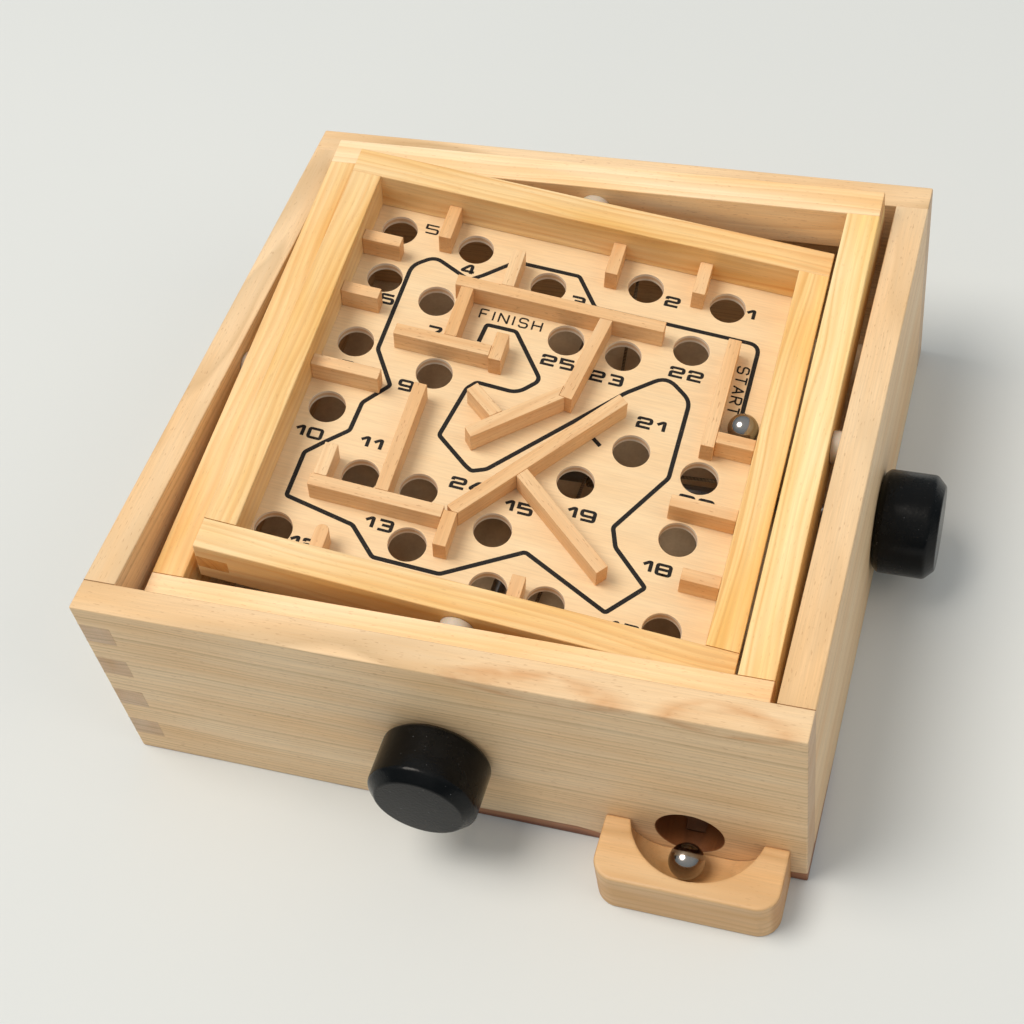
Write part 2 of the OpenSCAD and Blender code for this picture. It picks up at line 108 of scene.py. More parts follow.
# %% Camera
EYE = np.array((183.35, -432.75, 611.1)) * MM
AZIMUTH, ELEVATION, ROLL = np.radians((25.5828, 50.3944, -11.4117))


def link(obj):
    """Puts an object in the scene."""
    bpy.context.scene.collection.objects.link(obj)


def unit(v):
    """Vectors, made one long."""
    return v / np.linalg.norm(v, axis=-1, keepdims=True)


def camera_axes(azimuth, elevation, roll):
    """Columns right, up, back: back from the two angles, right level with the floor, then both rolled."""
    back = np.array((math.sin(azimuth) * math.cos(elevation),
                     -math.cos(azimuth) * math.cos(elevation), math.sin(elevation)))
    right = unit(np.cross((0, 0, 1), back))
    up = np.cross(back, right)
    return np.stack((math.cos(roll) * right + math.sin(roll) * up,
                     math.cos(roll) * up - math.sin(roll) * right, back), axis=1)


camera = bpy.data.objects.new("camera", bpy.data.cameras.new("camera"))
camera.data.lens, camera.data.sensor_width = 61.898, 36
camera.data.clip_start, camera.data.clip_end = 0.02, 30
camera.matrix_world = Matrix.Translation(EYE) @ Matrix(camera_axes(AZIMUTH, ELEVATION, ROLL)).to_4x4()
link(camera)
bpy.context.scene.camera = camera
print("camera at", EYE.round(4), "lens", camera.data.lens)

# %% [markdown]
# ## Building shader trees
# Every finish here is a node tree. One function adds a node with its settings and its inputs, where an
# input is a value, a colour or the output of another node. Colours are written as the sRGB hex values
# that a paint card would give, and one function turns them into the linear numbers that the renderer uses.
# The nodes that come up again and again have short forms. Each finish below is a recipe, a function that
# builds its tree.

# %% Colours and nodes
def srgb(code):
    """Hex colour to linear RGBA by the sRGB curve."""
    c = np.array([int(code[i:i + 2], 16) for i in (1, 3, 5)]) / 255
    return (*np.where(c <= 0.04045, c / 12.92, ((c + 0.055) / 1.055) ** 2.4), 1.0)


def add(tree, kind, settings=None, inputs=None, out=0):
    """Adds one node and returns its output: settings are its properties, inputs are values, hex colours or
    the outputs of other nodes."""
    node = tree.nodes.new("ShaderNode" + kind)
    for key, value in (settings or {}).items():
        if key == "stops":
            band = node.color_ramp.elements
            band[0].position, band[1].position = value[0][0], value[-1][0]
            for at, _ in value[1:-1]:
                band.new(at)
            for element, (_, shade) in zip(band, value):
                element.color = (shade, shade, shade, 1)
        else:
            setattr(node, key, value)
    for key, value in (inputs or {}).items():
        if isinstance(value, bpy.types.NodeSocket):
            tree.links.new(value, node.inputs[key])
        else:
            node.inputs[key].default_value = srgb(value) if isinstance(value, str) else value
    return node.outputs[out] if node.outputs else None


def make_material(name, recipe, *values, **marks):
    """A new material with the tree that a recipe builds from these values."""
    material = bpy.data.materials.new(name)
    material.use_nodes = True
    material.node_tree.nodes.clear()
    recipe(material.node_tree, *values, **marks)
    return material


def close(tree, inputs):
    """Ends a tree: one principled shader with these inputs, on the material's surface."""
    shader = add(tree, "BsdfPrincipled", {}, inputs)
    add(tree, "OutputMaterial", {}, {"Surface": shader})


print("white in linear light:", srgb("#FFFFFF")[:3])

# %% Short forms of the nodes used most
def mix(tree, factor, first, second, way="MIX"):
    """Two colours, mixed by a factor."""
    kind = {"data_type": "RGBA", "blend_type": way}
    return add(tree, "Mix", kind, {0: factor, 6: first, 7: second}, out=2)


def tinted(tree, factor, body, tint):
    """A colour times a tint, as far as the factor goes."""
    return mix(tree, factor, body, tint, "MULTIPLY")


def maths(tree, operation, *values):
    """One step with numbers."""
    return add(tree, "Math", {"operation": operation}, dict(enumerate(values)))


def vectors(tree, operation, *values):
    """One step with vectors. Lengths, distances and products come out as a number."""
    out = "Value" if operation in ("LENGTH", "DISTANCE", "DOT_PRODUCT") else "Vector"
    return add(tree, "VectorMath", {"operation": operation}, dict(enumerate(values)), out)


def remap(tree, value, start, end, low=0.0, high=1.0, easing="LINEAR"):
    """Carries start..end over to low..high, and holds it beyond."""
    ends = {1: start, 2: end, 3: low, 4: high}
    return add(tree, "MapRange", {"interpolation_type": easing}, {0: value, **ends})


def noise(tree, vector, size, detail, roughness=0.5):
    """Noise with waves of a size: one length, or a tuple with a length along each of the three axes."""
    if isinstance(size, tuple):
        vector, size = vectors(tree, "MULTIPLY", vector, tuple(1 / s for s in size)), 1.0
    waves = {"Scale": 1 / size, "Detail": detail, "Roughness": roughness}
    return add(tree, "TexNoise", {}, {"Vector": vector, **waves})


def spread(tree, field, low, high):
    """Noise carried over to low..high. Nearly all of it lies between 0.3 and 0.7."""
    return remap(tree, field, 0.3, 0.7, low, high)


def bumped(tree, strength, depth, height):
    """A bump with its depth in millimetres."""
    return add(tree, "Bump", {}, {"Strength": strength, "Distance": depth * MM, "Height": height})


def grain_of(tree):
    """Where a point lies in its own board, in millimetres along, across and up."""
    return add(tree, "Attribute", {"attribute_name": "grain_mm"}, out="Vector")


def place_of(tree):
    """Where a point lies in the scene, in metres: pieces stay at the origin, so these are their own axes."""
    return add(tree, "TexCoord", out="Object")


print("short forms:", [f.__name__ for f in (mix, tinted, maths, vectors, remap, noise, spread, bumped)])

# %% [markdown]
# ## Solid timber
# Timber is a bundle of fibres wrapped in yearly rings round a pith. A board shows straight lines where
# it is cut across the rings, and broad wavy figure where it is cut along them. Painting lines on each
# face would break at the edges, so the pattern is solid: each board carries an attribute with its own
# millimetres along, across and up, measured from its pith, and the rings are the distance from the
# pith line. The distance wanders slowly along the board, as a trunk does. The late wood of a year is a
# soft darkening that stops sharply, in a line that the fibres break up. Finer than that are the fibres,
# and the short dark pores and flecks of beech. Fibres are really about 0.05 mm wide and are drawn near
# 0.5 mm wide, so that they show. Some boards have marks of their own: dark heartwood along an edge and
# soft bands where a branch began. The wall of the outlet's bore is darkened as painted shade, for the
# shadow inside the hole.

# %% Year lines and the marks of single boards
WALL_HALF, WALL_SHIFT = 140, 300
LATE_PEAK = 0.78
HEART_FOOT, HEART_RISE, HEART_WAVE = 1.5, 10.0, -6.0


def year_lines(tree, grain, fibre, ring, wander, uneven, soft, streak):
    """year = (distance from the pith + wander * slow noise) / ring width + uneven * noise of that number.
    Its fraction shades one year: pale up to soft, darkest at LATE_PEAK, then gone. Each year has a strength
    of its own, up to streak, and the fibres break its line."""
    drift = noise(tree, grain, (125, 100 / 3, 100 / 3), 2.0, 0.4)
    across = vectors(tree, "MULTIPLY", grain, (0, 1 / ring, 1 / ring))
    evenly = maths(tree, "MULTIPLY_ADD", drift, wander / ring, vectors(tree, "LENGTH", across))
    slower = maths(tree, "MULTIPLY", evenly, 0.43)
    wet_years = add(tree, "TexNoise", {"noise_dimensions": "1D"},
                    {"W": slower, "Scale": 1.0, "Detail": 1.0})
    year = maths(tree, "MULTIPLY_ADD", wet_years, uneven, evenly)
    late = add(tree, "ValToRGB", {"stops": ((0, 0.0), (soft, 0.12), (LATE_PEAK, 1.0), (1, 0.0))},
               {0: maths(tree, "FRACT", year)})
    number = maths(tree, "FLOOR", year)
    lean = add(tree, "TexWhiteNoise", {"noise_dimensions": "1D"}, {"W": number}, out="Value")
    smooth = maths(tree, "MULTIPLY", late, remap(tree, lean, 0, 1, 0.3 * streak, streak))
    return maths(tree, "MULTIPLY", smooth, remap(tree, fibre, 0.35, 0.65, 0.5, 1.15))


def branch_band(tree, grain, body, middle, half):
    """A soft oval band round a branch, strongest where |(grain - middle) / half| + 0.6 noise is 1.1."""
    shrink = 1 / np.array(half, float)
    inside = vectors(tree, "MULTIPLY_ADD", grain, tuple(shrink), tuple(-shrink * middle))
    cloud = noise(tree, grain, (16, 7, 7), 2.0)
    bent = maths(tree, "MULTIPLY_ADD", cloud, 0.6, vectors(tree, "LENGTH", inside))
    band = add(tree, "ValToRGB", {"stops": ((0.15, 0.1), (0.4, 0.25), (0.54, 1.0), (0.66, 0.0))},
               {0: maths(tree, "MULTIPLY", bent, 0.5)})
    patchy = remap(tree, cloud, 0.35, 0.62, 0.25, 0.8)
    return tinted(tree, maths(tree, "MULTIPLY", band, patchy), body, "#E4C6A8")


def heartwood(tree, grain, tone, body, low, stops):
    """Heartwood below a line along the board, up = low + HEART_FOOT + HEART_RISE * stops + HEART_WAVE * tone,
    with low the board's lower edge: a reddish rim, and a darker core from half a millimetre below it."""
    part = add(tree, "SeparateXYZ", {}, {0: grain}).node.outputs
    whole = remap(tree, part["X"], WALL_SHIFT - WALL_HALF, WALL_SHIFT + WALL_HALF)
    rise = add(tree, "ValToRGB", {"stops": stops}, {0: whole})
    line = maths(tree, "MULTIPLY_ADD", rise, HEART_RISE, low + HEART_FOOT)
    depth = maths(tree, "SUBTRACT", maths(tree, "MULTIPLY_ADD", tone, HEART_WAVE, line), part["Z"])
    body = tinted(tree, remap(tree, depth, -1.8, -1.0, easing="SMOOTHSTEP"), body, "#C09A8E")
    core = remap(tree, depth, 0.5, 4.5, 0.0, 0.7, "SMOOTHSTEP")
    return tinted(tree, core, body, "#8E6350")


def bore_painted_shade(tree, grain, body, along, up, radius):
    """A bore across the board, its wall darkened as painted shade for the shadow inside the hole."""
    off = vectors(tree, "MULTIPLY_ADD", grain, (1, 0, 1), (-along, 0, -up))
    wall = remap(tree, vectors(tree, "LENGTH", off), radius + 0.1, radius + 0.6, 1.0, 0.0)
    return tinted(tree, wall, body, "#8C6244")


print("the grain of a wall runs from", WALL_SHIFT - WALL_HALF, "to", WALL_SHIFT + WALL_HALF, "mm")

# %% The timber shader
def timber(tree, light, dark, ring, wander, uneven, soft, streak, pores, tint, end_tint, rough,
           heart=None, bore_shade=None, figures=()):
    """Timber from the attributes grain_mm (along, across, up from the pith) and grain_dir: year lines from
    light to dark, broad patches of tint, fibres, pores, and end_tint on end grain. heart = (low, stops)
    and figures = (middle, half size) are the marks of one board, and the bore argument, (along, up,
    radius), darkens the wall of a bore as painted shade."""
    grain = grain_of(tree)
    fibre = noise(tree, grain, (22, 0.55, 0.55), 3.0, 0.6)
    ringed = year_lines(tree, grain, fibre, ring, wander, uneven, soft, streak)
    body = mix(tree, ringed, light, dark)
    tone = noise(tree, grain, (110, 16, 16), 3.0)
    body = tinted(tree, spread(tree, tone, 1.0, 0.0), body, tint)
    body = tinted(tree, 1.0, body, spread(tree, fibre, 0.9, 1.06))
    spot = noise(tree, grain, (3.2, 0.6, 0.6), 1.0)
    pore = remap(tree, spot, 0.64, 0.76, 0.0, pores, "SMOOTHSTEP")
    body = tinted(tree, pore, body, "#A06A40")
    for middle, half in figures:
        body = branch_band(tree, grain, body, middle, half)
    if heart:
        body = heartwood(tree, grain, tone, body, *heart)
    # painted shade: the wall of the outlet's bore is darkened for the shadow inside it
    if bore_shade:
        body = bore_painted_shade(tree, grain, body, *bore_shade)

    fibre_way = add(tree, "Attribute", {"attribute_name": "grain_dir"}, out="Vector")
    facing = vectors(tree, "DOT_PRODUCT", add(tree, "TexCoord", out="Normal"), fibre_way)
    end = remap(tree, maths(tree, "ABSOLUTE", facing), 0.6, 0.85, easing="SMOOTHSTEP")
    body = tinted(tree, end, body, end_tint)
    gloss = spread(tree, fibre, rough - 0.06, rough + 0.08)
    bump = bumped(tree, 0.35, 0.08, maths(tree, "MULTIPLY_ADD", fibre, 0.6, ringed))
    close(tree, {"Base Color": body, "Roughness": gloss, "IOR": 1.5, "Normal": bump})


# Planed and sanded pine under a clear matt varnish: creamy early wood, honey-coloured late wood.
PINE_RAIL = make_material("pine_planed", timber, "#FADFAE", "#D79B52", 2.7, 12, 2.6, 0.3, 0.75, 0.15,
                          "#F3DAAA", "#E4CDB0", 0.47)
# A pinker stick of the same pine, cut so that its lines hardly show.
PINE_PALE = make_material("pine_pale", timber, "#FFE4BC", "#E2B780", 2.6, 8, 2.0, 0.3, 0.6, 0.25,
                          "#F8E3C2", "#E4D2BE", 0.48)
# A yellower stick with bolder lines, made brighter as painted light: the right rails get less light.
PINE_GOLD_LIT = make_material("pine_golden_lit", timber, "#FFE7B2", "#DDA459", 2.9, 13, 2.6, 0.3, 0.75, 0.15,
                          "#F9E4B6", "#E4CDB0", 0.47)
# The boards of the box, of slower grown pine: close, thin grey-brown lines under the same varnish.
PINE_BOX = ("#F1D5AE", "#A68A60", 2.3, 8, 1.5, 0.3, 0.58, 0.3, "#F6E6D0", "#E4E0E6", 0.5)
# Steamed beech strips, sanded: even pinkish tan, with the short flecks of its rays.
BEECH = make_material("beech_sanded", timber, "#F1CFA2", "#DBA976", 2.6, 6, 1.5, 0.4, 0.5, 0.4,
                      "#F0DABF", "#F2E6D8", 0.5)
# A thicker block of beech, sanded by hand and oiled, which deepens it.
BEECH_BLOCK = make_material("beech_oiled", timber, "#E3C093", "#BF945F", 3.4, 8, 1.5, 0.4, 0.6, 0.15,
                            "#EFDBBE", "#E6D8C8", 0.45)
print("timbers:", [m.name for m in (PINE_RAIL, PINE_PALE, PINE_GOLD_LIT, BEECH, BEECH_BLOCK)])

# %% [markdown]
# ## Boards with eased edges
# A planed board never keeps a razor edge: sandpaper takes half a millimetre off every open arris. Glued
# joints are sanded flush, so there only a hairline shows. A copy of each solid is merged, its flat
# faces are joined, and the Bevel modifier eases its edges by a weight: full on an open arris, a little
# on a glue line. In all three frames the glue lines are the edges inside a corner post, the square
# column where two boards meet, apart from those on the outside.

# %% Copies of the solids, their edges and their grain
# Edges count as sharp above SHARP, a glue line keeps HAIRLINE of the easing, and NEAR is close, in mm.
SHARP, HAIRLINE, NEAR = math.radians(35), 0.08, 0.1
EASE = {"wall": 0.7, "rail": 0.6, "lane": 0.35, "plywood": 0.25}
SPARE = ("custom_normal", "sharp_edge", "sharp_face")


def bare_copy(node):
    """A merged copy of a node's mesh as a bmesh, with its flat faces joined."""
    work = bmesh.new()
    work.from_mesh(frame["nodes"][node].data)
    bmesh.ops.remove_doubles(work, verts=work.verts, dist=2e-6)
    bmesh.ops.dissolve_limit(work, angle_limit=math.radians(0.3), verts=work.verts, edges=work.edges)
    return work


def arris_weight(middles, size):
    """Weight of edges by their middles in mm: HAIRLINE on a glue line in a corner post, else 1.
    size = (half width, half depth, thickness, low, high) of the frame of boards."""
    half, thick, ends = np.array(size[:2]), size[2], np.array(size[3:])
    plan = np.abs(middles[:, :2])
    post = (plan > half - thick - NEAR).all(axis=1)
    outside = plan > half - NEAR
    level = (np.abs(middles[:, 2:] - ends) < NEAR).any(axis=1)
    open_edge = outside.all(axis=1) | (level & outside.any(axis=1))
    return np.where(post & ~open_edge, HAIRLINE, 1.0)


def set_vector(mesh, name, values):
    """Stores one vector for each point of the mesh."""
    store = mesh.attributes.new(name, "FLOAT_VECTOR", "POINT")
    store.data.foreach_set("vector", np.ascontiguousarray(values, np.float32).ravel())


def set_grain(mesh, body, along, pith, shift):
    """grain_mm = (along, across, up) in mm from the pith, grain_dir = the fibres' way in the scene."""
    co = np.empty(len(mesh.vertices) * 3, np.float32)
    mesh.vertices.foreach_get("co", co)
    local = own(co.reshape(-1, 3), body)
    local -= (local.min(axis=0) + local.max(axis=0)) / 2
    along = np.array(along, float)
    side = np.array((-along[1], along[0], 0))
    grain = np.stack((local @ along + shift, local @ side - pith[0], local[:, 2] - pith[1]), axis=1)
    set_vector(mesh, "grain_mm", grain)
    set_vector(mesh, "grain_dir", np.broadcast_to(TURN[body] @ along, grain.shape))


def show(obj, body, material, replaced=()):
    """Puts a piece in the scene: on its body, with its finish, in place of the nodes that it stands for."""
    obj.data.materials.append(material)
    link(obj)
    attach(obj, body)
    if replaced:
        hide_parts(*replaced)


def board(node, body, material, along, pith, shift, ease, size=None):
    """A board: the copy of its solid with eased edges (ease in mm) and its own grain."""
    work = bare_copy(node)
    ends = np.array([[v.co[:] for v in e.verts] for e in work.edges])
    sharp = np.array([e.calc_face_angle(0.0) for e in work.edges]) > SHARP
    weight = np.where(sharp, 1.0, 0.0)
    if size:
        weight *= arris_weight(own(ends.mean(axis=1), body), size)
    mesh = bpy.data.meshes.new("dressed_" + node)
    work.to_mesh(mesh)
    work.free()
    for name in [a.name for a in mesh.attributes if a.name in SPARE]:
        mesh.attributes.remove(mesh.attributes[name])
    mesh.materials.clear()
    mesh.shade_smooth()
    eased = mesh.attributes.new("bevel_weight_edge", "FLOAT", "EDGE")
    eased.data.foreach_set("value", weight.astype(np.float32))
    set_grain(mesh, body, along, pith, shift)
    piece = bpy.data.objects.new("dressed_" + node, mesh)
    bevel = piece.modifiers.new("eased", "BEVEL")
    bevel.limit_method, bevel.width, bevel.segments = "WEIGHT", ease * MM, 2
    bevel.harden_normals, bevel.use_clamp_overlap, bevel.loop_slide = True, False, False
    show(piece, body, material, [node])


print("edges eased by, in mm:", EASE)

# %% The four walls of the box
rng = np.random.default_rng(12)
WALL_T, WALL_TOP = 13.5, 99
WALL_SIZE = (WALL_HALF, WALL_HALF, WALL_T, 0, WALL_TOP)
X_WAY, Y_WAY = (1, 0, 0), (0, 1, 0)
WALL_PITH = {"front": (9, -95), "back": (-12, -80), "left": (3, 125), "right": (-3, -100)}
OUTLET, OUTLET_R = np.array((95.5, -126.5, 19)), 13

# What takes a point of the box, in mm, to the grain of the front wall.
across, up = WALL_PITH["front"]
FRONT_GRAIN = np.array((WALL_SHIFT, WALL_HALF - WALL_T / 2 - across, -WALL_TOP / 2 - up))
BRANCHES = ((111, (27, 11, 7)), (44, (38, 10, 7)))
MARKS = {
    "front": {
        "heart": (FRONT_GRAIN[2], ((0, 0.0), (0.4, 0.0), (0.52, 0.6), (0.68, 0.8), (0.75, 0.3), (0.9, 0.3),
                                   (1, 0.65))),
        # painted shade on the wall of the outlet's bore
        "bore_shade": (*(OUTLET + FRONT_GRAIN)[[0, 2]], OUTLET_R),
        "figures": [(FRONT_GRAIN + (x, -WALL_HALF, WALL_TOP), half) for x, half in BRANCHES]},
    "right": {
        "heart": (-WALL_TOP / 2 - WALL_PITH["right"][1], ((0, 0.65), (0.1, 0.4), (0.22, 0.0), (1, 0.0)))},
}
for side, way in (("front", X_WAY), ("back", X_WAY), ("left", Y_WAY), ("right", Y_WAY)):
    pine = make_material("pine_" + side + "_wall", timber, *PINE_BOX, **MARKS.get(side, {}))
    board(side + "_wall", "box", pine, way, WALL_PITH[side], WALL_SHIFT, EASE["wall"], WALL_SIZE)
print("walls of the box dressed:", len(WALL_PITH))

# %% The rails of the two frames
# Every rail is sawn from another place of its trunk: its pith lies beside it, at a drawn distance.
STICK_L = 900
OUTER_SIZE, INNER_SIZE = (122.5, 122.5, 13.5, -11, 11), (105, 103.5, 13, -14, 9.5)
for body, name, size in (("outer_frame", "outer", OUTER_SIZE), ("maze_tray", "inner", INNER_SIZE)):
    for side, way in (("front", X_WAY), ("right", Y_WAY), ("back", X_WAY), ("left", Y_WAY)):
        pith = (rng.choice((-1, 1)) * rng.uniform(34, 46), rng.choice((-1, 1)) * rng.uniform(14, 22))
        pine = PINE_PALE if name + side in ("outerfront", "outerback") else PINE_RAIL
        # The right rails take the brighter pine, painted light for the light they lose in their slot.
        pine = PINE_GOLD_LIT if side == "right" else pine
        node = name + "_" + side + "_rail"
        board(node, body, pine, way, pith, rng.uniform(0, STICK_L), EASE["rail"], size)
print("eight rails dressed")

# %% [markdown]
# ## Lane walls
# The lane walls are strips of beech, sawn from one stick and glued on the board. The fibres run along
# each strip, whichever way it lies, so the way is found from the strip's own points: the direction in
# which they spread most.

# %% Lane walls
LANES = sorted(n for n in frame["nodes"] if n.startswith("lane_"))


def longest_way(node):
    """Unit vector in the tray's plane along which the node's points spread most."""
    co = own([v.co[:] for v in frame["nodes"][node].data.vertices], "maze_tray")[:, :2]
    extent, ways = np.linalg.eigh(np.cov(co.T))
    return (*ways[:, extent.argmax()], 0.0)


for node in LANES:
    pith = (rng.uniform(-20, 20), rng.choice((-1, 1)) * rng.uniform(20, 40))
    board(node, "maze_tray", BEECH, longest_way(node), pith, rng.uniform(0, STICK_L), EASE["lane"])
print("lane walls dressed:", len(LANES))

# %% [markdown]
# ## The maze board
# The board is birch plywood: a pale face veneer with a faint figure, and three plies that show as
# bands in the walls of the holes. The bands come from the height in the board, so they are exact at
# every hole. The holes are drilled, and their rims only lightly sanded.

# %% Birch plywood
BOARD_T = 4.5
PLIES = ((0, 0.0), (0.3, 0.0), (0.34, 1.0), (0.66, 1.0), (0.7, 0.0), (1, 0.0))


def plywood(tree):
    """Birch plywood: face veneer by noise along the grain, plies by the height in the board. Below its face
    the wood is freshly drilled and paler, and the middle ply is darker than the two others."""
    grain = grain_of(tree)
    body = mix(tree, noise(tree, grain, (70, 9, math.inf), 3.0, 0.55), "#F4DDB6", "#E6C496")
    fibre = noise(tree, grain, (14, 0.7, 0.7), 3.0, 0.6)
    body = tinted(tree, 1.0, body, spread(tree, fibre, 0.92, 1.05))
    level = add(tree, "SeparateXYZ", {}, {0: grain}, out="Z")
    drilled = remap(tree, level, BOARD_T / 2 - 0.15, BOARD_T / 2 - 0.05, 0.9, 0.0)
    body = mix(tree, drilled, body, "#FBEDDC")
    ply = add(tree, "ValToRGB", {"stops": PLIES}, {0: remap(tree, level, -BOARD_T / 2, BOARD_T / 2)})
    body = tinted(tree, ply, body, "#ECD6BA")
    bump = bumped(tree, 0.25, 0.05, fibre)
    close(tree, {"Base Color": body, "Roughness": 0.5, "IOR": 1.5, "Normal": bump})


# Sanded birch plywood, sealed with a thin matt coat.
PLYWOOD = make_material("birch_plywood", plywood)
board("maze_board", "maze_tray", PLYWOOD, X_WAY, (0, 0), 40.0, EASE["plywood"])
print("maze board dressed")

# %% [markdown]
# ## The catch tray
# The tray is a block of beech with round front corners and a scoop. Its edges were rounded over by
# hand, the rim of the scoop too, where a bevel would have to follow a curved face made of small
# facets. So the copy is remeshed at 0.45 mm and smoothed, which wears every edge like sandpaper and
# leaves the flats flat. The result is kept as a plain mesh, and gets its grain after that.

# %% Catch tray
def sanded_copy(node, voxel, passes):
    """A copy of the node, remeshed at voxel (mm) and smoothed: a new mesh with worn edges."""
    work = bare_copy(node)
    mesh = bpy.data.meshes.new("rough")
    work.to_mesh(mesh)
    work.free()
    rough = bpy.data.objects.new("rough", mesh)
    link(rough)
    remesh = rough.modifiers.new("remesh", "REMESH")
    remesh.mode, remesh.voxel_size = "VOXEL", voxel * MM
    smooth = rough.modifiers.new("smooth", "SMOOTH")
    smooth.factor, smooth.iterations = 0.5, passes
    worn = rough.evaluated_get(bpy.context.evaluated_depsgraph_get())
    result = bpy.data.meshes.new_from_object(worn)
    bpy.data.objects.remove(rough)
    result.materials.clear()
    result.shade_smooth()
    return result


VOXEL, PASSES = 0.45, 14
TRAY_PITH, TRAY_SHIFT = (-6, -34), 310.0
tray_mesh = sanded_copy("catch_tray", VOXEL, PASSES)
tray_mesh.name = "dressed_catch_tray"
set_grain(tray_mesh, "box", X_WAY, TRAY_PITH, TRAY_SHIFT)
show(bpy.data.objects.new("dressed_catch_tray", tray_mesh), "box", BEECH_BLOCK, ["catch_tray"])
print("catch tray: faces", len(tray_mesh.polygons))

# %% [markdown]
# ## Turned pieces
# Knobs, balls and spacers are turned on a lathe, so each is a profile carried round an axis. A profile
# is a few corners, rounded by one function that is used again for the printed lines: at each corner a
# curve leaves the first side, heads for the corner, and ends on the next side. A corner with radius 0
# stays sharp.

# %% Profiles, lathe and faces
def rounded(points, radius, steps=7):
    """An open line with its corners rounded: at each corner p, (1-s)^2 a + 2 s (1-s) p + s^2 b, with a and b
    on the two sides, radius away from p or at 45% of the shorter side. Points that coincide are dropped."""
    p = np.asarray(points, float)
    side = np.diff(p, axis=0)
    length = np.linalg.norm(side, axis=1)
    way = side / length[:, None]
    cut = np.minimum(radius, 0.45 * np.minimum(length[:-1], length[1:]))[:, None]
    corner = p[1:-1]
    a, b = corner - way[:-1] * cut, corner + way[1:] * cut
    s = np.linspace(0, 1, steps)[None, :, None]
    curve = (1 - s) ** 2 * a[:, None] + 2 * s * (1 - s) * corner[:, None] + s ** 2 * b[:, None]
    line = np.vstack((p[:1], curve.reshape(-1, p.shape[1]), p[-1:]))
    return line[np.r_[True, np.linalg.norm(np.diff(line, axis=0), axis=1) > 1e-9]]


def grid_faces(rows, columns, closed_rows=False, closed_columns=True):
    """Quads between neighbours of a rows x columns grid of points, closed on itself where asked."""
    i = np.arange(rows if closed_rows else rows - 1)[:, None]
    j = np.arange(columns if closed_columns else columns - 1)[None, :]
    i2, j2 = (i + 1) % rows, (j + 1) % columns
    corner = (i * columns + j, i * columns + j2, i2 * columns + j2, i2 * columns + j)
    return np.stack(np.broadcast_arrays(*corner), axis=-1).reshape(-1, 4)


def lathe(profile, foot, axis, around=96, closed=False):
    """Surface of revolution: point(s, a) = foot + h(s) axis + r(s) (cos a e1 + sin a e2), in mm."""
    profile, axis = np.asarray(profile, float), np.asarray(axis, float)
    e1 = unit(np.cross(axis, (0.36, 0.48, 0.8)))
    e2 = np.cross(axis, e1)
    a = np.linspace(0, 2 * np.pi, around, endpoint=False)
    ring = np.cos(a)[:, None] * e1 + np.sin(a)[:, None] * e2
    out, along = profile[:, 0, None, None] * ring, profile[:, 1, None, None] * axis
    co = out + along + np.asarray(foot, float)
    return co.reshape(-1, 3), grid_faces(len(profile), around, closed)


def join(parts):
    """Several (points, faces) as one: the faces of each count on from the points before it."""
    starts = np.cumsum([0] + [len(co) for co, _ in parts[:-1]])
    faces = [f for (_, part), start in zip(parts, starts) for f in (np.asarray(part) + start).tolist()]
    return np.vstack([co for co, _ in parts]), faces


def surface(name, co, faces, angle=40, lay=None):
    """A mesh object from points in metres: doubles merged, normals turned outwards, smooth below angle.
    lay is the way of the strands, for cords."""
    mesh = bpy.data.meshes.new(name)
    mesh.from_pydata(np.asarray(co).tolist(), [], np.asarray(faces, object).tolist())
    if lay is not None:
        set_vector(mesh, "lay", lay)
    work = bmesh.new()
    work.from_mesh(mesh)
    bmesh.ops.remove_doubles(work, verts=work.verts, dist=1e-7)
    bmesh.ops.recalc_face_normals(work, faces=work.faces)
    work.to_mesh(mesh)
    work.free()
    mesh.shade_smooth()
    mesh.set_sharp_from_angle(angle=math.radians(angle))
    return bpy.data.objects.new(name, mesh)


print("a rounded square corner has", len(rounded(((0, 0), (1, 0), (1, 1)), 0.3)), "points")

# %% [markdown]
# ## Black knobs
# The knobs are turned wood under black lacquer. The lacquer has a fine uneven skin and some dust in it,
# and it is a little rubbed where fingers hold it, so its shine changes from place to place.

# %% Lacquer
def lacquer(tree):
    """Black lacquer: dust specks by thresholded noise, soft rubbed patches, and the bump of its skin."""
    place = place_of(tree)
    rub = noise(tree, place, 16 * MM, 4.0, 0.6)
    body = mix(tree, remap(tree, rub, 0.45, 0.75), "#060708", "#101112")
    dust = noise(tree, place, 1.1 * MM, 1.0)
    body = mix(tree, remap(tree, dust, 0.76, 0.84), body, "#77787A")
    gloss = spread(tree, rub, 0.14, 0.33)
    bump = bumped(tree, 0.7, 0.1, noise(tree, place, 1.3 * MM, 2.0))
    close(tree, {"Base Color": body, "Roughness": gloss, "IOR": 1.27, "Normal": bump})


# Brushed black lacquer on turned wood, satin.
LACQUER = make_material("black_lacquer", lacquer)
KNOB_R, KNOB_L, BORE_R, BORE_L = 21.5, 25.0, 3.02, 19.0
KNOB_BEVEL, KNOB_BASE = 4.0, 2.2
KNOB_CORNERS = ((0, BORE_L), (BORE_R, BORE_L), (BORE_R, 0), (KNOB_R - KNOB_BASE, 0), (KNOB_R, KNOB_BASE),
                (KNOB_R, KNOB_L - KNOB_BEVEL), (KNOB_R - KNOB_BEVEL, KNOB_L), (0, KNOB_L))
# How far each corner is rounded, in mm, from the end of the bore to the edge of the face.
KNOB_ROUND = np.array((0.3, 0.3, 0.7, 0.9, 1.1, 0.7))
print("lacquer mixed:", LACQUER.name)

